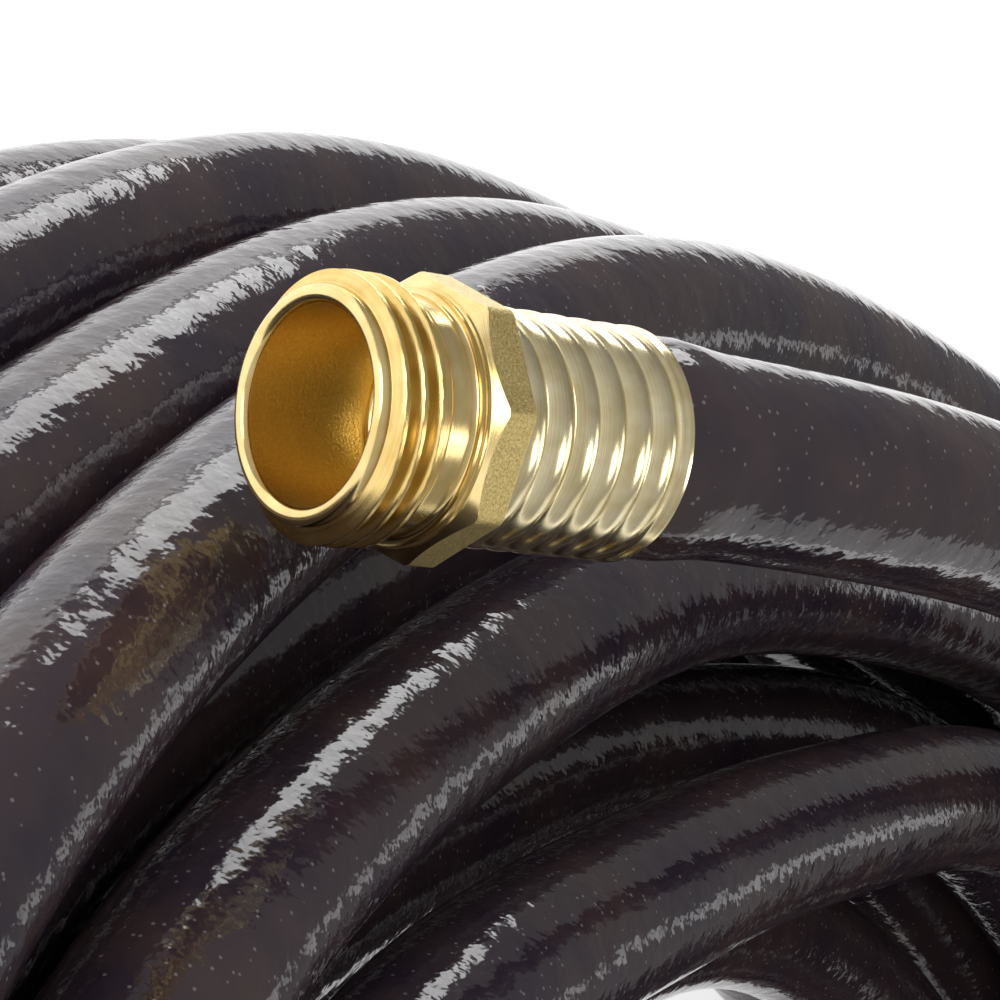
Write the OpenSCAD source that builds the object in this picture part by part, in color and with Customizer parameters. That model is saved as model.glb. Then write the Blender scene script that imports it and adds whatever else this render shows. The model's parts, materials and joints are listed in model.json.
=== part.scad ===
// A garden hose wound into an oval coil, with a male and a female brass hose coupling.
// Millimetres, +Z up. The origin is on the floor, under the middle of the whole coil.

/* [Hose] */
// Outside diameter of the hose
hose_od = 22; // [21.6:0.1:22]
// Inside diameter of the hose
hose_id = 15.9; // [15.6:0.1:16.2]
// Thickness of the reinforcement layer
braid_t = 0.7; // [0.5:0.1:0.8]
// Thickness of the inner liner
liner_t = 1.0; // [0.8:0.1:1.1]
// Gap drawn between layers that are bonded on the real hose
layer_gap = 0.1; // [0.05:0.01:0.12]

/* [Coil] */
// Radius of the coil halfway round its oval, along the outer wrap of the top layer
coil_r = 189; // [185:1:200]
// How far the oval stands beyond that radius at its long ends, and inside it at its sides
coil_oval = 62; // [40:1:62]
// How far the oval leans out of symmetry
coil_lean = 21; // [10:1:21]
// Height from one layer to the next
layer_rise = 23.6; // [23:0.1:24.5]

/* [Couplings] */
// Crest radius of the external hose thread, 3/4-11.5 NH
thread_r = 13.45; // [13.4:0.01:13.5]
// Wall radius at the crests of the internal hose thread
nut_thread_r = 12.45; // [12.4:0.01:12.55]
// Across the flats of the male coupling's eight-sided collar
collar_af = 27; // [26.5:0.1:28]
// Across the flats of the eight-sided swivel nut
nut_af = 32; // [31.6:0.1:34]
// Outside radius of a ferrule's ribs
ferrule_r = 12.2; // [12.1:0.1:12.6]
// Number of rolled ribs on a ferrule
ferrule_ribs = 6; // [4:1:6]
// Radial running clearance between the swivel nut and its stem
swivel_gap = 0.05; // [0.03:0.01:0.08]

/* [Resolution] */
// Most that the hose turns from one straight piece to the next, in degrees
most_turn = 36; // [36:1:40]
// Straight pieces that draw one free end of the hose
lead_steps = 8; // [8:1:10]

/* [Hidden] */
$fn = 96;

hose_r = hose_od / 2;
bore_r = hose_id / 2;
liner_r = bore_r + liner_t;
braid_r = liner_r + layer_gap + braid_t;
// Sides of the many-sided tube that stands for the hose: on the coil, and where it enters a ferrule
coil_sides = 8;
lead_sides = 16;
// Longest straight piece of the coil, and the gap where a free end's pieces meet the coil's
longest_step = 105;
cut_gap = 0.2;

// ---- Coil shape -------------------------------------------------------------------------------

// Layers from the floor up: [wraps, offset of the outermost wrap, offset of the innermost wrap].
// An offset is measured outwards from coil_r. The first layer winds outwards, the next inwards.
LAYERS = [[3, 31, -68], [4, 26, -88], [3, 11, -56], [3, 0, -72], [1, -70, -70]];
// Angle at which each wrap begins, and the angles over which it steps over to the next one's place
wrap_start = 190;
step_from = 110;
step_span = 80;
// How far the hose swings clear of the coil while it climbs to the next layer, and how much of the
// step-over's span it starts and ends beyond it
climb_swing = 28;
climb_lead = 0.15;
// Turns from the start of the first wrap to where the female end's free part joins it
coil_from = -0.04;
// Share of the last wrap that lies on the coil, before the male end lifts off it
last_wrap_share = 0.03;
// The oval is nearly round beyond this height of its far side, where this share of its shape is lost
far_side = 0.3;
far_share = 0.85;

function ramp(u) = let (v = min(1, max(0, u))) v * v * (3 - 2 * v);
function mix(a, b, u) = a + (b - a) * u;
function unit(v) = v / norm(v);

// Every wrap's place in the winding order: [offset, height, side to which the hose swings to climb]
PLACES = [
    for (j = [0 : len(LAYERS) - 1], i = [0 : LAYERS[j][0] - 1])
        let (u = i / max(1, LAYERS[j][0] - 1), outwards = j % 2 == 0)
            [mix(LAYERS[j][1], LAYERS[j][2], outwards ? 1 - u : u), hose_r + j * layer_rise,
             i < LAYERS[j][0] - 1 ? 0 : outwards ? 1 : -1]
];
coil_turns = len(PLACES) - 1 + last_wrap_share;

// Distance of the oval from the coil's centre at angle q
function reach(q) =
    coil_r + (coil_oval * cos(2 * q) + coil_lean * sin(3 * q))
    * (1 - far_share * ramp((sin(q) - far_side) / (1 - far_side)));

// The hose's centreline on the coil, after t turns of winding from its lower end
function coil_point(t) =
    let (
        k = max(0, min(floor(t), len(PLACES) - 1)),
        here = PLACES[k],
        next = PLACES[min(k + 1, len(PLACES) - 1)],
        q = wrap_start + 360 * t,
        x = (wrap_start + 360 * (t - k - 1) - step_from) / step_span,
        swing = pow(sin(180 * max(0, min(1, (x + climb_lead) / (1 + 2 * climb_lead)))), 2),
        r = reach(q) + mix(here[0], next[0], ramp(x)) + here[2] * climb_swing * swing
    )
    [r * cos(q), r * sin(q), mix(here[1], next[1], ramp(x + climb_lead))];
nudge = 0.002;
function coil_heading(t) = unit(coil_point(t + nudge) - coil_point(t - nudge));

// Every wrap is drawn with corners at the same angles, so that neighbours stay clear of each other.
// They are spaced on a wrap in the middle of the coil: close together where the hose bends tightly.
middle_offset = -35;
look = 0.01;
looks_ahead = 6;
function middle_point(t) =
    let (q = wrap_start + 360 * t) (reach(q) + middle_offset) * [cos(q), sin(q)];
function turn_over(t) =
    acos(unit(middle_point(t) - middle_point(t - look)) * unit(middle_point(t + look) - middle_point(t)));
function stride(t) =
    look * min(most_turn / max([for (k = [0 : looks_ahead]) turn_over(t + k * look)]),
               longest_step / norm(middle_point(t + look) - middle_point(t)));
function stations(t) = t > 1 - stride(t) / 2 ? [] : concat([t], stations(t + stride(t)));
CORNERS = stations(0);

// ---- Free ends --------------------------------------------------------------------------------

// Middle of the male coupling's open end, and the way the hose runs away from it
male_mouth = [133.8, -136.7, 108.1];
male_azimuth = 166.6;
male_tilt = 19.6;
// Turn of the eight-sided collar about its own axis
male_phase = 13;
// The female end rises from the floor inside the coil, and its mouth faces up and outwards
female_mouth = [55, 8, 78];
female_azimuth = 144;
female_tilt = -44;
female_phase = 22.5;

function heading(azimuth, tilt) = [cos(tilt) * cos(azimuth), cos(tilt) * sin(azimuth), sin(tilt)];
male_axis = heading(male_azimuth, male_tilt);
female_axis = heading(female_azimuth, female_tilt);

// A curve from p0 to p1 that leaves along v0 and arrives along v1
function bend(p0, v0, p1, v1, s) =
    p0 * (1 + 2 * s) * pow(1 - s, 2) + v0 * s * pow(1 - s, 2)
    + p1 * s * s * (3 - 2 * s) - v1 * s * s * (1 - s);

// Distances along a coupling from its mouth: where the hose begins, and where it starts to bend
male_hose_from = 18.5;
male_bend_from = 41.5;
female_hose_from = 20.1;
female_bend_from = 43;
// How strongly each free end holds its heading at the coupling, and at the coil
male_pull = 350;
male_coil_pull = 230;
female_pull = 195;
female_coil_pull = 312;
// Step of the female end at which its hinged part begins
female_cut = 2;

male_root = male_mouth + male_axis * male_bend_from;
female_root = female_mouth + female_axis * female_bend_from;

// The whole hose from its female end to its male end
FEMALE_BEND = [for (i = [0 : lead_steps])
    bend(female_root, female_axis * female_pull, coil_point(coil_from),
         coil_heading(coil_from) * female_coil_pull, i / lead_steps)];
COIL_PATH = concat(
    [for (k = [0 : len(PLACES) - 1], u = CORNERS) if (k + u < coil_turns - look) coil_point(k + u)],
    [coil_point(coil_turns)]);
MALE_BEND = [for (i = [1 : lead_steps])
    bend(coil_point(coil_turns), coil_heading(coil_turns) * male_coil_pull, male_root, -male_axis * male_pull,
         i / lead_steps)];
HOSE = concat([female_mouth + female_axis * female_hose_from], FEMALE_BEND, COIL_PATH, MALE_BEND,
              [male_mouth + male_axis * male_hose_from]);
last = len(HOSE) - 1;
female_end_at = female_cut + 1;
male_end_at = last - len(MALE_BEND) - 1;

// ---- Hose -------------------------------------------------------------------------------------

// Direction of the hose at its point i
function along(i) = unit(HOSE[min(i + 1, last)] - HOSE[max(i - 1, 0)]);
// One ring of n corners round the hose at its point i, moved along it by shift; its flats stand r away
function ring(i, r, n, shift) =
    let (dir = along(i), side = unit(cross(dir, [0, 0, 1])), up = cross(side, dir), c = r / cos(180 / n))
        [for (j = [0 : n - 1])
            HOSE[i] + dir * shift + c * (cos((j + 0.5) * 360 / n) * side + sin((j + 0.5) * 360 / n) * up)];

// The middle of the whole hose, seen from above
OUTLINE = [for (i = [0 : last]) each ring(i, hose_r, coil_sides, 0)];
function halfway(axis) = (min([for (p = OUTLINE) p[axis]]) + max([for (p = OUTLINE) p[axis]])) / 2;
middle = [halfway(0), halfway(1), 0];

// Two triangles that fill the four-cornered face a, b, c, d
function face(a, b, c, d) = [[a, b, c], [a, c, d]];

// A many-sided tube that follows the hose from its point a to its point b
module tube(a, b, outer, inner, n) {
    m = b - a;
    function shift(i) = i == a ? cut_gap / 2 : i == b ? -cut_gap / 2 : 0;
    rings = [for (r = [outer, inner], i = [a : b]) ring(i, r, n, shift(i))];
    // Corner j of ring i, on the outer skin or on the inner one
    function out(i, j) = i * n + j % n;
    function in(i, j) = (m + 1) * n + out(i, j);
    skins = [for (i = [0 : m - 1], j = [0 : n - 1])
        each concat(face(out(i, j), out(i + 1, j), out(i + 1, j + 1), out(i, j + 1)),
                    face(in(i, j), in(i, j + 1), in(i + 1, j + 1), in(i + 1, j)))];
    ends = [for (j = [0 : n - 1])
        each concat(face(out(0, j), out(0, j + 1), in(0, j + 1), in(0, j)),
                    face(out(m, j + 1), out(m, j), in(m, j), in(m, j + 1)))];
    translate(-middle)
        polyhedron(points = [for (r = rings) each r], faces = concat(skins, ends), convexity = 20);
}

module cover(a, b, n) color([0.13, 0.12, 0.13]) tube(a, b, hose_r, braid_r + layer_gap, n);
module braid(a, b, n) color([0.75, 0.74, 0.7]) tube(a, b, braid_r, liner_r + layer_gap, n);
module liner(a, b, n) color([0.08, 0.08, 0.08]) tube(a, b, liner_r, bore_r, n);

module hose_cover() cover(female_end_at, male_end_at, coil_sides);
module hose_braid() braid(female_end_at, male_end_at, coil_sides);
module hose_liner() liner(female_end_at, male_end_at, coil_sides);
module male_lead_cover() cover(male_end_at, last, lead_sides);
module male_lead_braid() braid(male_end_at, last, lead_sides);
module male_lead_liner() liner(male_end_at, last, lead_sides);
module female_lead_cover() cover(0, female_end_at, lead_sides);
module female_lead_braid() braid(0, female_end_at, lead_sides);
module female_lead_liner() liner(0, female_end_at, lead_sides);

// ---- Couplings --------------------------------------------------------------------------------
// Each is drawn along +Z from its mouth. Profiles are [radius, distance from the mouth].

brass = [0.7, 0.62, 0.36];
pale_brass = [0.72, 0.68, 0.45];

// Threads
thread_pitch = 2.209;
thread_turns = 3;
thread_depth = 1.3;
thread_flank = 30;
crest_width = 0.45;
first_crest = 2.2;

// What both stems share: the socket that the hose's end stands in, and the tail inside the hose
tail_r = 7.7;
tail_bore_r = 6.5;
tail_length = 21;
socket_r = 8.9;
socket_length = 1.2;
throat_r = 8;

// The male stem's stations
bore_wall_r = 9.9;
bore_to = 13;
lip_r = 11.8;
neck_r = 12;
neck_from = 7.8;
neck_to = 10.8;
step_r = 12.6;
step_to = 11.6;
bead_r = 13;
bead_to = 12.4;
ledge = 0.3;
collar_to = 17;
throat_to = 16;
throat_taper = 2;

// The female end's stations
washer_from = 9;
washer_to = 11.9;
washer_r = 12.9;
washer_hole_r = 8;
flange_from = 12;
flange_to = 13.9;
flange_r = 12.3;
nut_wall_from = 14;
nut_to = 16;
swivel_r = 9.25;
boss_from = 16.1;
boss_to = 18.6;
boss_r = 11.5;

// Ferrules
ferrule_gap = 0.12;
ferrule_wall = 1.1;
ferrule_length = 23;
ferrule_inner_r = 11.35;
groove_r = 11.8;
rib_pitch = 3.5;
rib_half = 1.15;
rib_slope = 0.4;
first_rib = 1.9;
band_length = 1.5;
band_swell = 0.15;
band_edge = 0.5;

// Eight-sided blocks: sides, how far their turned front cuts into the flats, and the cone's overshoot
block_sides = 8;
block_chamfer = 0.5;
clear = 0.1;
// How far a cutting shape reaches beyond what it cuts
reach_out = 1;

function arc(r, z, radius, from, to, n) =
    [for (i = [0 : n]) let (a = mix(from, to, i / n)) [r + radius * cos(a), z + radius * sin(a)]];
// Ring-shaped crests, from the root radius to the crest radius
function crests(root, crest) =
    let (flat = crest_width / 2, foot = flat + thread_depth * tan(thread_flank))
        [for (k = [0 : thread_turns - 1])
            let (z = first_crest + k * thread_pitch)
                each [[root, z - foot], [crest, z - flat], [crest, z + flat], [root, z + foot]]];
// The socket and tail that hold the hose, from z on
function tail_outline(z) =
    [[socket_r, z], [socket_r, z + socket_length], [tail_r, z + socket_length],
     [tail_r, z + tail_length], [tail_bore_r, z + tail_length]];

module turned(profile) rotate_extrude() polygon(profile);
module at_male() translate(male_mouth - middle) rotate([0, 90 - male_tilt, male_azimuth]) children();
module at_female() translate(female_mouth - middle) rotate([0, 90 - female_tilt, female_azimuth]) children();

// An eight-sided block whose corners are turned off to a cone at its front, and at its back if both_ends
module block(af, from, to, phase, both_ends) {
    corner = af / 2 / cos(180 / block_sides);
    front_r = af / 2 - block_chamfer;
    full_r = corner + clear;
    rise = full_r - front_r;
    back = both_ends ? [[full_r, to - rise], [front_r, to]] : [[full_r, to]];
    intersection() {
        translate([0, 0, from]) rotate([0, 0, phase]) cylinder(r = corner, h = to - from, $fn = block_sides);
        turned(concat([[0, from], [front_r, from], [full_r, from + rise]], back, [[0, to]]));
    }
}

module male_stem() color(brass) at_male() {
    lip = (lip_r - bore_wall_r) / 2;
    tail_to = collar_to + tail_length;
    difference() {
        union() {
            turned(concat(
                [[0, bore_to], [bore_wall_r, bore_to]],
                arc(bore_wall_r + lip, lip, lip, 180, 360, 8),
                crests(thread_r - thread_depth, thread_r),
                [[neck_r, neck_from], [neck_r, neck_to], [step_r, neck_to + ledge], [step_r, step_to],
                 [bead_r, step_to + ledge], [bead_r, collar_to]],
                tail_outline(collar_to),
                [[0, tail_to]]));
            block(collar_af, bead_to, collar_to, male_phase, false);
        }
        turned([[0, bore_to - reach_out], [throat_r, bore_to - reach_out], [throat_r, throat_to],
                [tail_bore_r, throat_to + throat_taper], [tail_bore_r, tail_to + reach_out],
                [0, tail_to + reach_out]]);
    }
}

module female_stem() color(brass) at_female()
    turned(concat([[throat_r, flange_from], [flange_r, flange_from], [flange_r, flange_to],
                   [swivel_r, flange_to], [swivel_r, boss_from], [boss_r, boss_from], [boss_r, boss_to]],
                  tail_outline(boss_to), [[tail_bore_r, flange_to]]));

// A crimped ferrule whose front wall stands just behind z
module ferrule(z) {
    from = z + ferrule_gap;
    to = from + ferrule_length;
    hole_r = socket_r + ferrule_gap;
    ribs = [for (k = [0 : ferrule_ribs - 1])
        let (c = from + first_rib + k * rib_pitch)
            each [[groove_r, c - rib_half - rib_slope], [ferrule_r, c - rib_half],
                  [ferrule_r, c + rib_half], [groove_r, c + rib_half + rib_slope]]];
    turned(concat([[hole_r, from], [groove_r, from]], ribs,
        [[groove_r, to - band_length], [ferrule_r + band_swell, to - band_length + band_edge],
         [ferrule_r + band_swell, to - band_edge], [ferrule_r - band_swell, to],
         [ferrule_inner_r + band_swell, to], [ferrule_inner_r, to - band_length],
         [ferrule_inner_r, from + ferrule_wall], [hole_r, from + ferrule_wall]]));
}

module male_ferrule() color(pale_brass) at_male() ferrule(collar_to);
module female_ferrule() color(pale_brass) at_female() ferrule(boss_to);

module swivel_nut() color(brass) at_female() difference() {
    recess_r = nut_thread_r + thread_depth;
    hole_r = swivel_r + swivel_gap;
    block(nut_af, 0, nut_to, female_phase, true);
    turned(concat([[0, -reach_out], [recess_r, -reach_out]], crests(recess_r, nut_thread_r),
        [[recess_r, nut_wall_from], [hole_r, nut_wall_from], [hole_r, nut_to + reach_out],
         [0, nut_to + reach_out]]));
}

module hose_washer() color([0.1, 0.1, 0.1]) at_female()
    turned([[washer_hole_r, washer_from], [washer_r, washer_from], [washer_r, washer_to],
            [washer_hole_r, washer_to]]);

// ---- Drawing ----------------------------------------------------------------------------------

hose_cover();
hose_braid();
hose_liner();
male_lead_cover();
male_lead_braid();
male_lead_liner();
male_stem();
male_ferrule();
female_lead_cover();
female_lead_braid();
female_lead_liner();
female_stem();
female_ferrule();
swivel_nut();
hose_washer();
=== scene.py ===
import json
import math

import bpy
import numpy as np
from mathutils import Matrix, Vector

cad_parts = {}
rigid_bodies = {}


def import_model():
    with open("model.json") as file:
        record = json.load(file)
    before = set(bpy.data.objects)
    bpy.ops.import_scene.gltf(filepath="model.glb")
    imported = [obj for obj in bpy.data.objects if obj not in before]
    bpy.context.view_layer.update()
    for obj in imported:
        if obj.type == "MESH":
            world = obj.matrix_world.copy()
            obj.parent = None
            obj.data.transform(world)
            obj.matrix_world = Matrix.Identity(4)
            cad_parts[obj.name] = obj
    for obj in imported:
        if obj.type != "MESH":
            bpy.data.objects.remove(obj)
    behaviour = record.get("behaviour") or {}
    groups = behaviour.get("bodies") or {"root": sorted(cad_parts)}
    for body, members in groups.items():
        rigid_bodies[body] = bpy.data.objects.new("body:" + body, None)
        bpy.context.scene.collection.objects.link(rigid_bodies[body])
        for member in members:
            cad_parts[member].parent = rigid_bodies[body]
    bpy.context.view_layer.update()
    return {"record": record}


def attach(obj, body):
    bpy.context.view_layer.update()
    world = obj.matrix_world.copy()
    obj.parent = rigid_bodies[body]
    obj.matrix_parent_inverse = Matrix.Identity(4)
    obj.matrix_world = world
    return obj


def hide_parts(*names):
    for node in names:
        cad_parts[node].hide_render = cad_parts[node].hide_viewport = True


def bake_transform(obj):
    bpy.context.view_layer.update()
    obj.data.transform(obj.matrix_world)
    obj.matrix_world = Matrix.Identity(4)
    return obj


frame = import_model()

# ---- Sizes, in millimetres and degrees ---------------------------------------------------------

# Outer and inner radii of the hose's three layers
HOSE_R = 11.0
COVER_IN = 9.85
BRAID_R = 9.75
BRAID_IN = 9.05
LINER_R = 8.95
BORE_R = 7.95

# The coil's oval, and its layers from the floor up: wraps, outermost offset, innermost offset
COIL_R = 189.0
COIL_OVAL = 62.0
COIL_LEAN = 21.0
LAYER_RISE = 23.6
LAYERS = ((3, 31.0, -68.0), (4, 26.0, -88.0), (3, 11.0, -56.0), (3, 0.0, -72.0), (1, -70.0, -70.0))
# Where a wrap begins, and the angles over which it steps over to the next one's place
WRAP_START = 190.0
STEP_FROM = 110.0
STEP_SPAN = 80.0
# How far the hose swings out while it climbs, and how much earlier and later than the step-over
CLIMB_SWING = 28.0
CLIMB_LEAD = 0.15
# The oval is nearly round beyond this height of its far side
FAR_SIDE = 0.3
FAR_SHARE = 0.85
# Turns at which the coil begins, and the share of its last wrap that lies on it
COIL_FROM = -0.04
LAST_WRAP_SHARE = 0.03

# The two couplings' mouths, their directions, and how strongly the hose is pulled along its ends
MALE_MOUTH = np.array([133.8, -136.7, 108.1])
MALE_AZIMUTH, MALE_TILT, MALE_PHASE = 166.6, 19.6, 13.0
FEMALE_MOUTH = np.array([55.0, 8.0, 78.0])
FEMALE_AZIMUTH, FEMALE_TILT, FEMALE_PHASE = 144.0, -44.0, 22.5
MALE_PULL, MALE_COIL_PULL = 350.0, 230.0
FEMALE_PULL, FEMALE_COIL_PULL = 195.0, 312.0
MALE_HOSE_FROM, MALE_BEND_FROM = 18.5, 41.5
FEMALE_HOSE_FROM, FEMALE_BEND_FROM = 20.1, 43.0
# Share of the female end's bend that goes into the female lead's own pieces, and the gap where a free end
# meets the coil
FEMALE_CUT = 2 / 8
CUT_GAP = 0.2

# The hose thread, and the distance of the CAD model's first crest from the male mouth
THREAD_PITCH = 2.209
THREAD_DEPTH = 1.3
THREAD_TURNS = 3
FIRST_CREST = 2.2

# Half the distance across the flats of the male collar and of the swivel nut
COLLAR_APOTHEM = 13.5
NUT_APOTHEM = 16.0

# ---- The hose's path ---------------------------------------------------------------------------


def ramp(u):
    v = np.clip(u, 0.0, 1.0)
    return v * v * (3 - 2 * v)


def unit(v):
    return v / np.linalg.norm(v, axis=-1, keepdims=True)


def heading(azimuth, tilt):
    a, t = math.radians(azimuth), math.radians(tilt)
    return np.array([math.cos(t) * math.cos(a), math.cos(t) * math.sin(a), math.sin(t)])


def winding_places():
    """Every wrap's place in the winding order: offset, height, and the side it swings to when it climbs."""
    places = []
    for j, (wraps, outer, inner) in enumerate(LAYERS):
        for i in range(wraps):
            u = i / max(1, wraps - 1)
            u = 1 - u if j % 2 == 0 else u
            side = 0 if i < wraps - 1 else (1 if j % 2 == 0 else -1)
            places.append((outer + (inner - outer) * u, HOSE_R + j * LAYER_RISE, side))
    return np.array(places)


PLACES = winding_places()
COIL_TURNS = len(PLACES) - 1 + LAST_WRAP_SHARE


def reach(q):
    """Distance of the oval from the coil's centre at angle q, in radians."""
    oval = COIL_OVAL * np.cos(2 * q) + COIL_LEAN * np.sin(3 * q)
    return COIL_R + oval * (1 - FAR_SHARE * ramp((np.sin(q) - FAR_SIDE) / (1 - FAR_SIDE)))


def coil_points(t):
    """The hose's centreline on the coil after t turns of winding."""
    k = np.clip(np.floor(t), 0, len(PLACES) - 1).astype(int)
    here, after = PLACES[k], PLACES[np.minimum(k + 1, len(PLACES) - 1)]
    q = np.radians(WRAP_START + 360 * t)
    x = (WRAP_START + 360 * (t - k - 1) - STEP_FROM) / STEP_SPAN
    swing = np.sin(np.pi * np.clip((x + CLIMB_LEAD) / (1 + 2 * CLIMB_LEAD), 0, 1)) ** 2
    u = ramp(x)
    r = reach(q) + here[:, 0] + (after[:, 0] - here[:, 0]) * u + here[:, 2] * CLIMB_SWING * swing
    w = ramp(x + CLIMB_LEAD)
    z = here[:, 1] + (after[:, 1] - here[:, 1]) * w
    return np.stack([r * np.cos(q), r * np.sin(q), z], axis=1)


def coil_heading(t):
    nudge = 0.002
    ends = coil_points(np.array([t - nudge, t + nudge]))
    return unit(ends[1] - ends[0])


def bend(p0, v0, p1, v1, s):
    """A curve from p0 to p1 that leaves along v0 and arrives along v1."""
    s = s[:, None]
    return (p0 * (1 + 2 * s) * (1 - s) ** 2 + v0 * s * (1 - s) ** 2
            + p1 * s * s * (3 - 2 * s) - v1 * s * s * (1 - s))


def arc_lengths(points):
    """Distance along the path from its first point to each of its points."""
    return np.concatenate([[0.0], np.cumsum(np.linalg.norm(np.diff(points, axis=0), axis=1))])


def evenly(points, step):
    """The same path with points about step apart."""
    lengths = arc_lengths(points)
    count = max(2, int(round(lengths[-1] / step)) + 1)
    at = np.linspace(0, lengths[-1], count)
    return np.stack([np.interp(at, lengths, points[:, i]) for i in range(3)], axis=1)


def hose_paths():
    """Centrelines of the female end, the coil and the male end, each running from female to male."""
    f_axis, m_axis = heading(FEMALE_AZIMUTH, FEMALE_TILT), heading(MALE_AZIMUTH, MALE_TILT)
    f_root = FEMALE_MOUTH + f_axis * FEMALE_BEND_FROM
    m_root = MALE_MOUTH + m_axis * MALE_BEND_FROM
    start = coil_points(np.array([COIL_FROM]))[0]
    end = coil_points(np.array([COIL_TURNS]))[0]

    def f_bend(s):
        return bend(f_root, f_axis * FEMALE_PULL, start, coil_heading(COIL_FROM) * FEMALE_COIL_PULL, s)

    free = f_bend(np.linspace(0, FEMALE_CUT, 60))
    female = np.vstack([[FEMALE_MOUTH + f_axis * FEMALE_HOSE_FROM], free])
    turns = np.linspace(COIL_FROM, COIL_TURNS, 9000)
    coil = np.vstack([f_bend(np.linspace(FEMALE_CUT, 1, 120))[:-1], coil_points(turns)])
    m_bend = bend(end, coil_heading(COIL_TURNS) * MALE_COIL_PULL, m_root, -m_axis * MALE_PULL,
                  np.linspace(0, 1, 200))
    male = np.vstack([m_bend, [MALE_MOUTH + m_axis * MALE_HOSE_FROM]])
    return female + ORIGIN, coil + ORIGIN, male + ORIGIN


# ---- The coil's place in the frame -------------------------------------------------------------


def coil_origin():
    """Where the coil's own centre lies in the frame, in mm, from the mount on the male thread."""
    mount = next(m for m in frame["record"]["mounts"] if m["name"] == "male_thread")
    thread = MALE_MOUTH + heading(MALE_AZIMUTH, MALE_TILT) * (FIRST_CREST + THREAD_PITCH)
    return np.array(mount["pos_m"]) * 1000 - thread


ORIGIN = coil_origin()


# ---- Meshes ------------------------------------------------------------------------------------


def grid_object(name, rows, uv, slots, materials, close_rows=False):
    """A mesh from rows of points that close round each row. rows is (n, columns, 3) in mm; uv is
    (n + close_rows, columns + 1, 2); slots gives each band of faces its material."""
    n, columns = rows.shape[:2]
    bands = n if close_rows else n - 1
    i, j = np.meshgrid(np.arange(bands), np.arange(columns), indexing="ij")
    i2, j2 = (i + 1) % n, (j + 1) % columns
    quads = np.stack([i * columns + j, i * columns + j2, i2 * columns + j2, i2 * columns + j], axis=-1)
    mesh = bpy.data.meshes.new(name)
    mesh.from_pydata((rows.reshape(-1, 3) * 0.001).tolist(), [], quads.reshape(-1, 4).tolist())
    corner_uv = np.stack([uv[i, j], uv[i, j + 1], uv[i + 1, j + 1], uv[i + 1, j]], axis=2)
    layer = mesh.uv_layers.new(name="UVMap")
    layer.data.foreach_set("uv", corner_uv.reshape(-1).astype(np.float32))
    for m in materials:
        mesh.materials.append(m)
    mesh.polygons.foreach_set("material_index", np.repeat(np.asarray(slots), columns).astype(np.int32))
    mesh.shade_smooth()
    mesh.set_sharp_from_angle(angle=math.radians(28))
    mesh.update()
    obj = bpy.data.objects.new(name, mesh)
    bpy.context.scene.collection.objects.link(obj)
    return obj


def ring_frames(path):
    """Directions along, sideways and up for each point of a path."""
    along = unit(np.gradient(path, axis=0))
    side = unit(np.cross(along, [0, 0, 1]))
    return along, side, np.cross(side, along)


def tube(name, path, outer, inner, sides, material, start=0.0, swell=None):
    """A hose layer along path, with flat ends. start is the arc length at its first point."""
    along, side, up = ring_frames(path)
    lengths = start + arc_lengths(path)
    a = np.arange(sides) * 2 * math.pi / sides
    spokes = np.cos(a)[None, :, None] * side[:, None] + np.sin(a)[None, :, None] * up[:, None]
    out_r = outer + (0 if swell is None else swell(lengths))
    skin = path[:, None] + spokes * np.broadcast_to(out_r, lengths.shape)[:, None, None]
    keep = np.unique(np.append(np.arange(0, len(path), 3), len(path) - 1))[::-1]
    lining = path[keep, None] + spokes[keep] * inner
    rows = np.vstack([skin, lining])
    v = np.linspace(0, 1, sides + 1)
    s = np.concatenate([lengths, lengths[keep], lengths[:1]])
    uv = np.stack(np.broadcast_arrays(s[:, None] * 0.001, v[None, :]), axis=-1)
    return grid_object(name, rows, uv, np.zeros(len(rows)), [material], close_rows=True)


def turned(name, profile, columns, place, materials, slots, radius=None, phase=0.0):
    """A turned piece from a closed profile of (radius, distance from the mouth), in mm. radius, when
    given, changes (radii, distances, angle) of the whole grid: threads and flats come from it."""
    profile = np.asarray(profile, float)
    a = np.radians(phase) + np.arange(columns) * 2 * math.pi / columns
    r = np.repeat(profile[:, :1], columns, axis=1)
    z = np.repeat(profile[:, 1:2], columns, axis=1)
    if radius is not None:
        r, z = radius(r, z, a)
    points = np.stack([r * np.cos(a), r * np.sin(a), z], axis=-1)
    points = points @ place[:3, :3].T + place[:3, 3]
    lengths = arc_lengths(profile)
    lengths = np.append(lengths, lengths[-1])
    u = np.linspace(0, 1, columns + 1)
    uv = np.stack(np.broadcast_arrays(u[None, :], lengths[:, None]), axis=-1)
    return grid_object(name, points, uv, slots, materials, close_rows=True)


def placement(mouth, azimuth, tilt):
    """The pose of a coupling whose own +Z runs from its mouth towards the hose."""
    m = Matrix.Rotation(math.radians(azimuth), 4, "Z") @ Matrix.Rotation(math.radians(90 - tilt), 4, "Y")
    m = np.array(m)
    m[:3, 3] = mouth + ORIGIN
    return m


def line(*points, step=0.25):
    """Points along straight pieces between the given (radius, distance) points, about step apart."""
    out = [points[0]]
    for a, b in zip(points[:-1], points[1:]):
        n = max(1, int(math.ceil(math.dist(a, b) / step)))
        out += [(a[0] + (b[0] - a[0]) * k / n, a[1] + (b[1] - a[1]) * k / n) for k in range(1, n + 1)]
    return out


def arc(r, z, radius, start, end, n):
    """n + 1 points on an arc about (r, z), between two angles in degrees."""
    angles = [math.radians(start + (end - start) * k / n) for k in range(n + 1)]
    return [(r + radius * math.cos(a), z + radius * math.sin(a)) for a in angles]


# ---- Materials ---------------------------------------------------------------------------------


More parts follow.
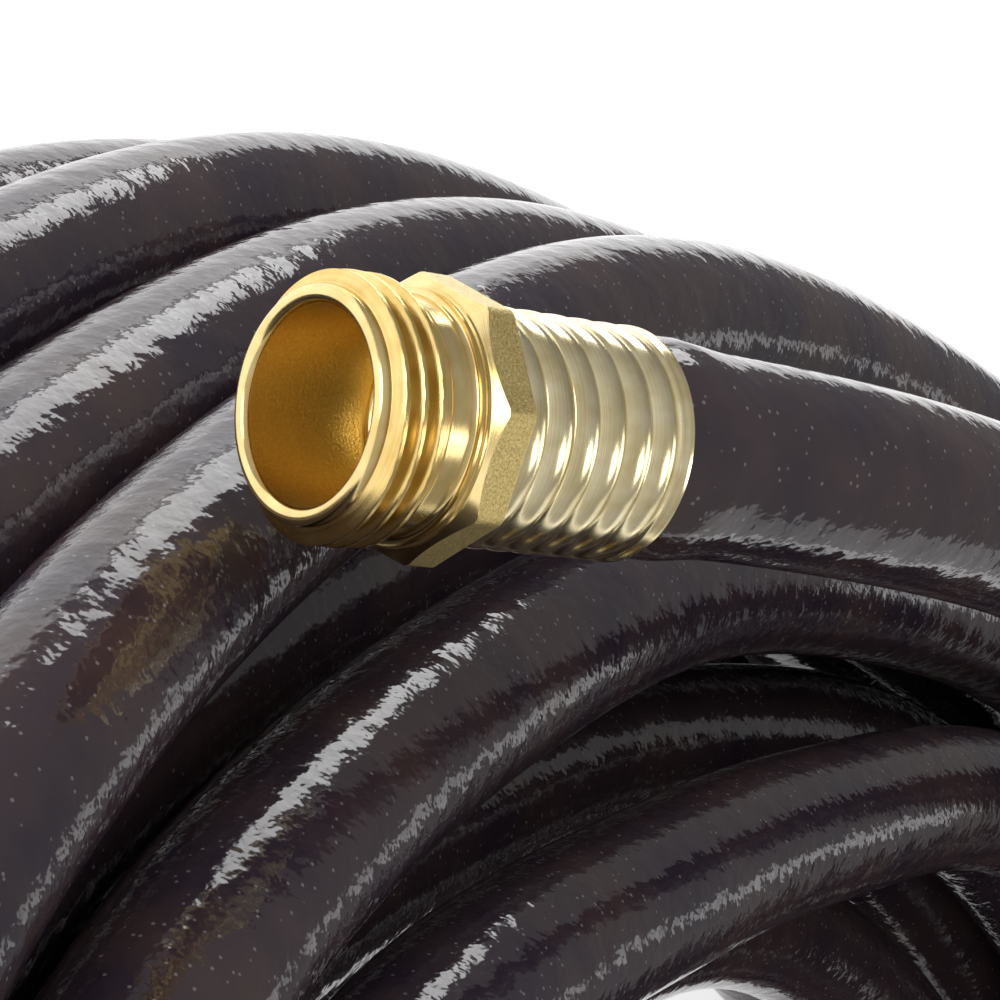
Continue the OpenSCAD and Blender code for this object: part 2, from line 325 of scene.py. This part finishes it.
class Nodes:
    """Short ways to add shader nodes to one material."""

    def __init__(self, name):
        self.material = bpy.data.materials.new(name)
        self.material.use_nodes = True
        self.tree = self.material.node_tree
        self.bsdf = self.tree.nodes["Principled BSDF"]

    def add(self, kind, **inputs):
        node = self.tree.nodes.new(kind)
        for key, value in inputs.items():
            self.put(value, node.inputs[key.replace("_", " ")])
        return node

    def put(self, value, socket):
        if isinstance(value, bpy.types.NodeSocket):
            self.tree.links.new(value, socket)
        else:
            socket.default_value = value

    def math(self, operation, *values):
        node = self.tree.nodes.new("ShaderNodeMath")
        node.operation = operation
        for k, value in enumerate(values):
            self.put(value, node.inputs[k])
        return node.outputs[0]

    def noise(self, vector, scale, detail=2.0, roughness=0.5):
        node = self.add("ShaderNodeTexNoise", Vector=vector, Scale=scale, Detail=detail, Roughness=roughness)
        return node.outputs["Fac"]

    def ramp(self, value, *stops):
        node = self.tree.nodes.new("ShaderNodeValToRGB")
        self.put(value, node.inputs["Fac"])
        while len(node.color_ramp.elements) < len(stops):
            node.color_ramp.elements.new(0.5)
        for element, (position, color) in zip(node.color_ramp.elements, stops):
            element.position = position
            element.color = (*color, 1.0)
        return node.outputs["Color"]

    def bump(self, height, strength, distance, normal=None):
        node = self.add("ShaderNodeBump", Height=height, Strength=strength, Distance=distance)
        if normal is not None:
            self.put(normal, node.inputs["Normal"])
        return node.outputs["Normal"]

    def set(self, **inputs):
        for key, value in inputs.items():
            self.put(value, self.bsdf.inputs[key.replace("_", " ")])


def split_uv(n):
    """The texture coordinates as a vector and as their two parts."""
    uv = n.add("ShaderNodeUVMap").outputs["UV"]
    parts = n.add("ShaderNodeSeparateXYZ", Vector=uv)
    return uv, parts.outputs["X"], parts.outputs["Y"]


def object_coordinates(n):
    return n.add("ShaderNodeTexCoord").outputs["Object"]


# The knitted reinforcement: metres from rib to rib, and zigzags round the hose
RIB_SPACING = 0.0028
KNIT_COLUMNS = 14.0


def knitted_ribs(n, where):
    """Height of the reinforcement's slanted ribs, which lie in narrow zigzag columns."""
    _, along, around = split_uv(n)
    zigzag = n.math("PINGPONG", n.math("MULTIPLY", around, KNIT_COLUMNS), 1.0)
    wobble = n.math("MULTIPLY", n.noise(where, 120.0), 0.5)
    phase = n.math("ADD", n.math("DIVIDE", along, RIB_SPACING), n.math("MULTIPLY", zigzag, 1.1))
    return n.math("SINE", n.math("MULTIPLY", n.math("ADD", phase, wobble), 2 * math.pi))


def dusted(n, where, color):
    """The colour with small pale specks of dust on it."""
    specks = n.add("ShaderNodeTexVoronoi", Vector=where, Scale=620.0).outputs["Distance"]
    dots = n.ramp(specks, (0.09, (1.0, 1.0, 1.0)), (0.16, (0.0, 0.0, 0.0)))
    mix = n.add("ShaderNodeMix")
    mix.data_type = "RGBA"
    n.put(n.math("MULTIPLY", dots, 0.35), mix.inputs["Factor"])
    n.put(color, mix.inputs["A"])
    mix.inputs["B"].default_value = (0.35, 0.34, 0.35, 1.0)
    return mix.outputs["Result"]


def hose_skin():
    """Glossy dark cover, a little uneven, with the reinforcement's ribs showing through it."""
    n = Nodes("hose_skin")
    where = object_coordinates(n)
    soft = n.bump(n.noise(where, 210.0, 3.0), 0.35, 0.0012)
    knit = n.bump(knitted_ribs(n, where), 0.028, 0.0001, soft)
    fine = n.bump(n.noise(where, 2600.0, 2.0), 0.03, 0.0001, knit)
    mottle = n.noise(where, 60.0, 3.0)
    color = n.ramp(mottle, (0.35, (0.026, 0.018, 0.028)), (0.65, (0.050, 0.031, 0.032)))
    n.set(Base_Color=dusted(n, where, color), Roughness=0.09, IOR=1.5, Normal=fine)
    return n.material


def brass(name, dark, light, roughness, marks, mark_scale):
    """Turned brass. Marks run round the piece; mark_scale is how many fit along a millimetre."""
    n = Nodes(name)
    uv, _, _ = split_uv(n)
    stretched = n.add("ShaderNodeMapping", Vector=uv)
    stretched.inputs["Scale"].default_value = (1.5, mark_scale, 1.0)
    lines = n.noise(stretched.outputs["Vector"], 1.0, 3.0)
    where = object_coordinates(n)
    tone = n.noise(where, 300.0, 2.0)
    color = n.ramp(n.math("ADD", n.math("MULTIPLY", tone, 0.6), n.math("MULTIPLY", lines, 0.4)),
                   (0.35, dark), (0.65, light))
    rough = n.math("ADD", roughness, n.math("MULTIPLY", lines, 0.08))
    n.set(Base_Color=color, Metallic=1.0, Roughness=rough, Normal=n.bump(lines, marks, 0.00004))
    return n.material


def grainy_brass(name, dark, light, roughness, scale, strength):
    """Brass with a fine even grain, as it leaves the bar or a sand mould."""
    n = Nodes(name)
    where = object_coordinates(n)
    grain = n.noise(where, scale, 4.0, 0.7)
    color = n.ramp(grain, (0.35, dark), (0.68, light))
    n.set(Base_Color=color, Metallic=1.0, Roughness=roughness, Normal=n.bump(grain, strength, 0.0002))
    return n.material


def plain(name, dark, light, roughness, scale):
    """A matt or satin material whose tone varies a little."""
    n = Nodes(name)
    tone = n.noise(object_coordinates(n), scale, 3.0)
    n.set(Base_Color=n.ramp(tone, (0.35, dark), (0.65, light)), Roughness=roughness,
          Normal=n.bump(tone, 0.2, 0.0002))
    return n.material


# ---- Hose --------------------------------------------------------------------------------------


def trim(path, front, back):
    """The path shortened by front and back mm at its ends."""
    ahead, behind = unit(path[1] - path[0]), unit(path[-2] - path[-1])
    path = path.copy()
    path[0] += ahead * front
    path[-1] += behind * back
    return path


def hose_layers(prefix, path, step, start, cover, braid, liner, swell=None):
    """The cover, braid and liner along one path. start is the hose's length up to the path."""
    half = CUT_GAP / 2
    fine = trim(evenly(path, step), half, half)
    coarse = trim(evenly(path, step * 2), half, half)
    layers = (
        (prefix + "_cover", fine, HOSE_R, COVER_IN, 32, cover, "hose_cover", swell),
        (prefix + "_braid", coarse, BRAID_R, BRAID_IN, 16, braid, "braid", None),
        (prefix + "_liner", coarse, LINER_R, BORE_R, 16, liner, "liner", None),
    )
    made = []
    for name, points, outer, inner, sides, material, slot, layer_swell in layers:
        piece = tube("v_" + name, points, outer, inner, sides, material, start, layer_swell)
        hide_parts(name)
        made.append(piece)
    return made


def length_of(path):
    return float(arc_lengths(path)[-1])


def bulge(d):
    """How far the hose swells at distance d from the ferrule that squeezes it."""
    height, middle, spread = 0.75, 4.0, 5.0
    return height * np.exp(-((d - middle) / spread) ** 2) * ramp((d + 1.0) / 2.5)


def build_hose(cover, braid, liner):
    female, coil, male = hose_paths()
    f_length = length_of(female)
    male_from = f_length + length_of(coil)
    male_to = male_from + length_of(male)

    def male_swell(s):
        return bulge(male_to - s - (MALE_BEND_FROM - MALE_HOSE_FROM))

    def female_swell(s):
        return bulge(s - (FEMALE_BEND_FROM - FEMALE_HOSE_FROM))

    for piece in hose_layers("female_lead", female, 2.5, 0.0, cover, braid, liner, female_swell):
        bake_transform(piece)
    for piece in hose_layers("hose", coil, 6.0, f_length, cover, braid, liner):
        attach(piece, "coil")
    for piece in hose_layers("male_lead", male, 2.5, male_from, cover, braid, liner, male_swell):
        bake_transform(piece)


# ---- Couplings ---------------------------------------------------------------------------------

# Material slots of the turned pieces
TURNED, BRIGHT, GRAINY, BORE = range(4)
# The male stem's thread root, its rounded lip, and its collar's front edge, flats and back
THREAD_ROOT = 12.15
LIP_R = 0.95
COLLAR_FACE_R, COLLAR_FROM = 13.0, 12.45
COLLAR_FLATS_TO, COLLAR_TO = 16.9, 16.98
COLLAR_CONE_SLOPE = 0.75
COLLAR_CONE_STEPS = 8
# The swivel nut: root of its thread, its blunt end faces, and its length
NUT_ROOT = 13.75
NUT_FACE_R = 15.2
NUT_LENGTH = 16.0
NUT_CONE_SLOPE = 0.9
NUT_CONE_STEPS = 6
# How far an eight-sided outline's corners and its back edge are blunted
BLUNTING = 0.12
# Where the two threads begin: distance from the mouth, and angle in degrees
MALE_THREAD_FROM, MALE_THREAD_ANGLE = 0.8, 20
NUT_THREAD_FROM, NUT_THREAD_ANGLE = 1.0, 60


class Outline:
    """A profile of (radius, distance from the mouth) with the material slot of each of its points."""

    def __init__(self):
        self.points, self.slots = [], []

    def stretch(self, points, slot):
        """Goes on along the given points; the first of them repeats the outline's last point."""
        new = points[1:] if self.points else points
        self.points.extend(new)
        self.slots.extend([slot] * len(new))


def thread_height(z, a, first, start_angle):
    """Share of the thread's height at distance z and angle a: a right-handed helix that fades in and
    out over part of a turn."""
    turn = (a - math.radians(start_angle)) / (2 * math.pi) % 1.0
    crest_half, flank, fading = 0.2, THREAD_DEPTH * math.tan(math.radians(30)), 0.35
    best = np.zeros(np.broadcast(z, turn).shape)
    for k in range(-1, THREAD_TURNS + 2):
        wound = k + turn
        crest = first + wound * THREAD_PITCH
        fade = ramp(wound / fading) * ramp((THREAD_TURNS - wound) / fading)
        height = 1 - (np.abs(z - crest) - crest_half) / flank
        best = np.maximum(best, np.clip(height, 0, 1) * fade)
    return best * best * (3 - 2 * best) * 0.35 + best * 0.65


def octagon_radius(a, phase, apothem):
    """Radius of an eight-sided outline at angle a, with its corners blunted a little."""
    off = (a - phase + math.pi / 8) % (math.pi / 4) - math.pi / 8
    off = math.pi / 8 - np.abs(off)
    return np.minimum(apothem / np.cos(off), apothem / math.cos(math.pi / 8) - BLUNTING)


def male_outline():
    """The male stem from its tail through the bore, the lip, the thread and the collar back to its
    tail. Also where the collar's cone and its flats begin in the outline. The points there are
    placeholders, which the stem's radius function moves to the eight sides: the distances between them
    only set how far the turning marks spread."""
    outline = Outline()
    outline.stretch(line((7.7, 37.98), (6.5, 37.98), (6.5, 18.5), (7.2, 17.5), (7.2, 16.2)), BORE)
    outline.stretch(line((7.2, 16.2), (7.5, 15.9), (9.3, 15.9)), BRIGHT)
    outline.stretch(arc(9.3, 15.3, 0.6, 90, 0, 6), BRIGHT)
    outline.stretch(line((9.9, 15.3), (9.9, LIP_R)), BORE)
    outline.stretch(arc(10.85, LIP_R, LIP_R, 180, 360, 20), BRIGHT)
    outline.stretch(line((11.8, LIP_R), (11.8, 1.15), (THREAD_ROOT, 1.35)), TURNED)
    outline.stretch(line((THREAD_ROOT, 1.35), (THREAD_ROOT, 8.2), step=0.05), TURNED)
    outline.stretch(line((THREAD_ROOT, 8.2), (12.0, 8.5), (12.0, 10.9)), BRIGHT)
    outline.stretch(arc(12.6, 10.9, 0.6, 180, 90, 8), BRIGHT)
    outline.stretch(line((12.6, 11.5), (12.75, 11.5), (12.75, 12.0), (13.0, 12.1),
                         (COLLAR_FACE_R, COLLAR_FROM)), BRIGHT)
    cone_from = len(outline.points)
    spread = [(13.2 + 0.1 * k, 0.0) for k in range(COLLAR_CONE_STEPS)]
    outline.stretch([(COLLAR_FACE_R, COLLAR_FROM)] + spread, BRIGHT)
    flat_from = len(outline.points)
    outline.stretch([(COLLAR_APOTHEM, along) for along in (0.0, 0.05, 0.35, 0.9, 1.0)], GRAINY)
    outline.stretch([(COLLAR_APOTHEM, 1.0), (13.3, COLLAR_TO)], GRAINY)
    outline.stretch(line((13.3, COLLAR_TO), (8.9, COLLAR_TO)), TURNED)
    outline.stretch(line((8.9, COLLAR_TO), (8.9, 18.18), (7.7, 18.18), (7.7, 37.9)), BORE)
    return outline, cone_from, flat_from


def build_male(brasses, pale):
    place = placement(MALE_MOUTH, MALE_AZIMUTH, MALE_TILT)
    outline, cone_from, flat_from = male_outline()

    def radius(r, z, a):
        thread = thread_height(z, a, MALE_THREAD_FROM, MALE_THREAD_ANGLE)
        outside = (np.abs(r - THREAD_ROOT) < 0.01) & (z > 1.3) & (z < 8.3)
        r = np.where(outside, r + thread * THREAD_DEPTH, r)
        flat = octagon_radius(a, math.radians(MALE_PHASE), COLLAR_APOTHEM)
        foot = COLLAR_FROM + (flat - COLLAR_FACE_R) * COLLAR_CONE_SLOPE
        for k in range(COLLAR_CONE_STEPS):
            share = (k + 1) / COLLAR_CONE_STEPS
            r[cone_from + k] = COLLAR_FACE_R + (flat - COLLAR_FACE_R) * share
            z[cone_from + k] = COLLAR_FROM + (foot - COLLAR_FROM) * share
        for k, share in enumerate((0.02, 0.06, 0.4, 0.9, 0.97)):
            r[flat_from + k] = flat
            z[flat_from + k] = foot + (COLLAR_FLATS_TO - foot) * share
        r[flat_from + 5] = flat - BLUNTING
        z[flat_from + 5] = COLLAR_TO
        return r, z

    stem = turned("v_male_stem", outline.points, 256, place, brasses, outline.slots, radius, MALE_PHASE)
    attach(stem, "male_end")
    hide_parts("male_stem")
    build_ferrule("male_ferrule", place, 17.1, pale, "male_end")


def build_ferrule(node, place, start, pale, body):
    """A rolled ferrule: rounded ribs with narrow grooves between them and a plain band at its end."""
    length, pitch, groove_r, rib_height, inner = 23.0, 3.5, 11.55, 0.67, 11.35
    end = start + length
    z = np.arange(0, length, 0.12)
    ribs = groove_r + rib_height * np.abs(np.sin(math.pi * ((z - 0.2) / pitch % 1.0))) ** 0.55
    band = 12.1 + 0.2 * ramp((z - 21.6) / 1.0)
    share = ramp((z - 21.0) / 0.6)
    r = ribs * (1 - share) + band * share
    profile = [(9.1, start + 1.1)] + line((9.1, start), (11.4, start))
    profile += [(float(a), start + float(b)) for a, b in zip(r, z)]
    profile += arc(12.12, end - 0.15, 0.15, 0, 90, 4) + [(11.55, end)]
    profile += line((inner, end - 1.5), (inner, start + 1.1), step=2.0)
    piece = turned("v_" + node, profile, 192, place, [pale], np.zeros(len(profile)))
    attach(piece, body)
    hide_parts(node)


def build_female(brasses, pale, rubber):
    place = placement(FEMALE_MOUTH, FEMALE_AZIMUTH, FEMALE_TILT)
    profile = line((8.0, 12.0), (12.3, 12.0), (12.3, 13.9), (9.25, 13.9), (9.25, 16.1), (11.3, 16.1),
                   (11.5, 16.3), (11.5, 18.4), (11.3, 18.6), (8.9, 18.6), (8.9, 19.8), (7.7, 19.8),
                   (7.7, 39.6), (6.5, 39.6), (6.5, 13.9), (7.9, 12.0), step=1.0)
    stem = turned("v_female_stem", profile, 128, place, [brasses[BRIGHT]], np.zeros(len(profile)))
    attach(stem, "female_end")
    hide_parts("female_stem")
    build_ferrule("female_ferrule", place, 18.72, pale, "female_end")
    build_nut(place, brasses)
    build_washer(place, rubber)


def build_washer(place, rubber):
    profile = line((8.2, 9.0), (12.7, 9.0), (12.9, 9.2), (12.9, 11.7), (12.7, 11.9), (8.2, 11.9),
                   (8.0, 11.7), (8.0, 9.2), (8.18, 9.0), step=0.6)
    washer = turned("v_hose_washer", profile, 96, place, [rubber], np.zeros(len(profile)))
    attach(washer, "nut")
    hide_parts("hose_washer")


def nut_outline():
    """The swivel nut from its back through the inside to the front, then the flats and the back again.
    Also how many of its points lie inside, and where its front cone begins. The points on the cones
    and the flats are placeholders, as on the male stem."""
    outline = Outline()
    outline.stretch(line((9.3, NUT_LENGTH), (9.3, 14.0), (13.7, 14.0), (13.7, 8.4), step=1.0), TURNED)
    outline.stretch(line((13.7, 8.4), (NUT_ROOT, 8.3), (NUT_ROOT, 0.6), step=0.05), TURNED)
    inside = len(outline.points)
    outline.stretch(line((NUT_ROOT, 0.6), (14.2, 0.0), (NUT_FACE_R, 0.0)), BRIGHT)
    cone_from = len(outline.points)
    front, flat, back = (15.4, 0.0), (NUT_APOTHEM, 0.0), (15.8, 15.0)
    outline.stretch([front] * (NUT_CONE_STEPS + 1), BRIGHT)
    outline.stretch([flat] * 4, GRAINY)
    outline.stretch([flat, flat] + [back] * NUT_CONE_STEPS, BRIGHT)
    outline.stretch([back] + line((NUT_FACE_R, NUT_LENGTH), (9.4, NUT_LENGTH), step=1.0), BRIGHT)
    return outline, inside, cone_from


def build_nut(place, brasses):
    """Eight flats between turned cones outside, a helical thread and a washer seat inside."""
    outline, inside, cone_from = nut_outline()
    flat_from = cone_from + NUT_CONE_STEPS
    back_from = flat_from + 4

    def radius(r, z, a):
        thread = thread_height(z, a, NUT_THREAD_FROM, NUT_THREAD_ANGLE)
        threaded = (np.arange(len(outline.points)) < inside)[:, None] & (z > 0.5) & (z < 8.35)
        r = np.where(threaded, r - thread * THREAD_DEPTH, r)
        flat = octagon_radius(a, math.radians(FEMALE_PHASE), NUT_APOTHEM)
        depth = (flat - NUT_FACE_R) * NUT_CONE_SLOPE
        for k in range(NUT_CONE_STEPS):
            share = (k + 1) / NUT_CONE_STEPS
            r[cone_from + k] = NUT_FACE_R + (flat - NUT_FACE_R) * share
            z[cone_from + k] = depth * share
            r[back_from + k] = flat + (NUT_FACE_R - flat) * share
            z[back_from + k] = NUT_LENGTH - depth * (1 - share)
        for k, share in enumerate((0.01, 0.3, 0.7, 1.0)):
            r[flat_from + k] = flat
            z[flat_from + k] = depth + (NUT_LENGTH - 2 * depth) * share
        return r, z

    materials = [brasses[slot] for slot in (TURNED, BRIGHT, GRAINY)]
    nut = turned("v_swivel_nut", outline.points, 256, place, materials, outline.slots, radius,
                 FEMALE_PHASE)
    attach(nut, "nut")
    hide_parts("swivel_nut")


# ---- Stage -------------------------------------------------------------------------------------

# Brightness of the studio on the side that the camera looks towards, and behind the camera
WORLD_FAR, WORLD_NEAR = 0.18, 0.65
TOWARDS_CAMERA = (0.93, 0.1, 0.35)
# What the soft boxes face, from the male mouth, in metres
LIT_MIDDLE = (-0.02, 0.02, -0.02)
# The camera's place from the coil's own centre, in metres, and the picture's right and up
CAMERA_PLACE = (0.4224, -0.1135, 0.2769)
PICTURE_RIGHT = (-0.4576, 0.2074, 0.8646)
PICTURE_UP = (-0.069, -0.9778, 0.198)
FLOOR_HALF, FLOOR_Z = 6.0, -0.0015


def panel(name, azimuth, elevation, distance, width, height, radiance, mirrored=True, only=None):
    """A soft box in the given direction, in degrees and metres, that faces the male end. mirrored:
    glossy surfaces show it. only: the collection that it lights, or None if it lights everything."""
    target = Vector(MALE_MOUTH + ORIGIN) * 0.001 + Vector(LIT_MIDDLE)
    toward = Vector(heading(azimuth, elevation))
    light = bpy.data.lights.new(name, "AREA")
    light.shape = "RECTANGLE"
    light.size, light.size_y = width, height
    light.energy = radiance * math.pi * width * height
    obj = bpy.data.objects.new(name, light)
    bpy.context.scene.collection.objects.link(obj)
    aim = toward.to_track_quat("Z", "Y").to_matrix().to_4x4()
    obj.matrix_world = Matrix.Translation(target + toward * distance) @ aim
    obj.visible_glossy = mirrored
    obj.light_linking.receiver_collection = only


def couplings():
    """A collection of the brass pieces, for the lights that are meant for them alone."""
    found = bpy.data.collections.new("couplings")
    for obj in bpy.data.objects:
        if obj.name.startswith("v_") and obj.name.endswith(("stem", "ferrule", "nut")):
            found.objects.link(obj)
    return found


def build_floor():
    """A pale floor, bright enough of its own that the picture's background is white."""
    n = Nodes("floor_white")
    tone = n.noise(object_coordinates(n), 3.0)
    n.set(Base_Color=n.ramp(tone, (0.3, (0.93, 0.93, 0.93)), (0.7, (0.95, 0.95, 0.95))), Roughness=0.9)
    n.set(Specular_IOR_Level=0.1, Emission_Color=(1.0, 1.0, 1.0, 1.0), Emission_Strength=0.75)
    mesh = bpy.data.meshes.new("floor")
    corners = [(FLOOR_HALF * x, FLOOR_HALF * y, FLOOR_Z) for x, y in ((-1, -1), (1, -1), (1, 1), (-1, 1))]
    mesh.from_pydata(corners, [], [(0, 1, 2, 3)])
    mesh.materials.append(n.material)
    floor = bpy.data.objects.new("floor", mesh)
    bpy.context.scene.collection.objects.link(floor)


def build_world():
    """A pale studio that is brightest behind the camera."""
    world = bpy.data.worlds.new("studio")
    world.use_nodes = True
    tree = world.node_tree
    sky = tree.nodes.new("ShaderNodeTexCoord").outputs["Generated"]
    facing = tree.nodes.new("ShaderNodeVectorMath")
    facing.operation = "DOT_PRODUCT"
    facing.inputs[1].default_value = TOWARDS_CAMERA
    tree.links.new(sky, facing.inputs[0])
    share = tree.nodes.new("ShaderNodeMapRange")
    share.inputs["From Min"].default_value = -1.0
    share.inputs["To Min"].default_value = WORLD_FAR
    share.inputs["To Max"].default_value = WORLD_NEAR
    tree.links.new(facing.outputs["Value"], share.inputs["Value"])
    tree.nodes["Background"].inputs["Color"].default_value = (1.0, 0.99, 0.98, 1.0)
    tree.links.new(share.outputs["Result"], tree.nodes["Background"].inputs["Strength"])
    bpy.context.scene.world = world


def build_camera():
    """Close to the male end, looking down at it, turned so that the coil's top faces the picture's right."""
    camera = bpy.data.cameras.new("camera")
    camera.lens, camera.sensor_width = 126.0, 36.0
    camera.clip_start = 0.01
    obj = bpy.data.objects.new("camera", camera)
    bpy.context.scene.collection.objects.link(obj)
    up = Vector(PICTURE_UP)
    back = Vector(PICTURE_RIGHT).cross(up).normalized()
    right = up.cross(back).normalized()
    m = Matrix((right, up.normalized(), back)).transposed().to_4x4()
    m.translation = Vector(CAMERA_PLACE) + Vector(ORIGIN) * 0.001
    obj.matrix_world = m
    bpy.context.scene.camera = obj


def build_stage():
    build_floor()
    build_world()
    # Each box: name, azimuth, elevation, distance, width, height, radiance
    panel("key_box", -127, 9, 0.9, 0.4, 0.32, 4.6)
    panel("back_box", 165, 16, 1.2, 0.08, 0.35, 0.9)
    panel("side_box", 133, 10, 1.0, 0.4, 0.42, 0.65)
    panel("fill_box", -78, 62, 1.5, 1.6, 1.6, 1.2, mirrored=False)
    brass_pieces = couplings()
    panel("brass_front_box", -20, 8, 1.1, 0.5, 0.5, 4.0, only=brass_pieces)
    panel("brass_back_box", 158, 27, 1.0, 0.3, 0.5, 2.6, only=brass_pieces)
    panel("brass_top_box", 128, 50, 1.2, 0.36, 0.42, 4.0, only=brass_pieces)
    bpy.context.scene.view_settings.view_transform = "Standard"


def build():
    cover = hose_skin()
    braid = plain("yarn", (0.45, 0.44, 0.4), (0.66, 0.64, 0.6), 0.8, 900.0)
    liner = plain("liner_black", (0.012, 0.012, 0.012), (0.03, 0.03, 0.03), 0.5, 500.0)
    rubber = plain("washer_rubber", (0.01, 0.01, 0.01), (0.022, 0.022, 0.022), 0.6, 900.0)
    pale = brass("brass_pale", (0.70, 0.58, 0.30), (0.93, 0.83, 0.55), 0.15, 0.2, 8.0)
    # In the order of the material slots TURNED, BRIGHT, GRAINY and BORE
    brasses = [
        brass("brass_turned", (0.60, 0.41, 0.13), (0.80, 0.60, 0.25), 0.14, 0.3, 18.0),
        brass("brass_bright", (0.66, 0.48, 0.18), (0.84, 0.66, 0.32), 0.10, 0.15, 25.0),
        grainy_brass("brass_grainy", (0.42, 0.31, 0.09), (0.80, 0.63, 0.28), 0.30, 3600.0, 0.8),
        # The bore's brass is paler than the other brass: painted light standing in for the light that
        # reaches down into the bore
        grainy_brass("brass_bore_painted_light", (0.78, 0.55, 0.16), (0.95, 0.74, 0.30), 0.30, 3200.0, 0.3),
    ]
    build_hose(cover, braid, liner)
    build_male(brasses, pale)
    build_female(brasses, pale, rubber)
    build_stage()
    build_camera()


build()
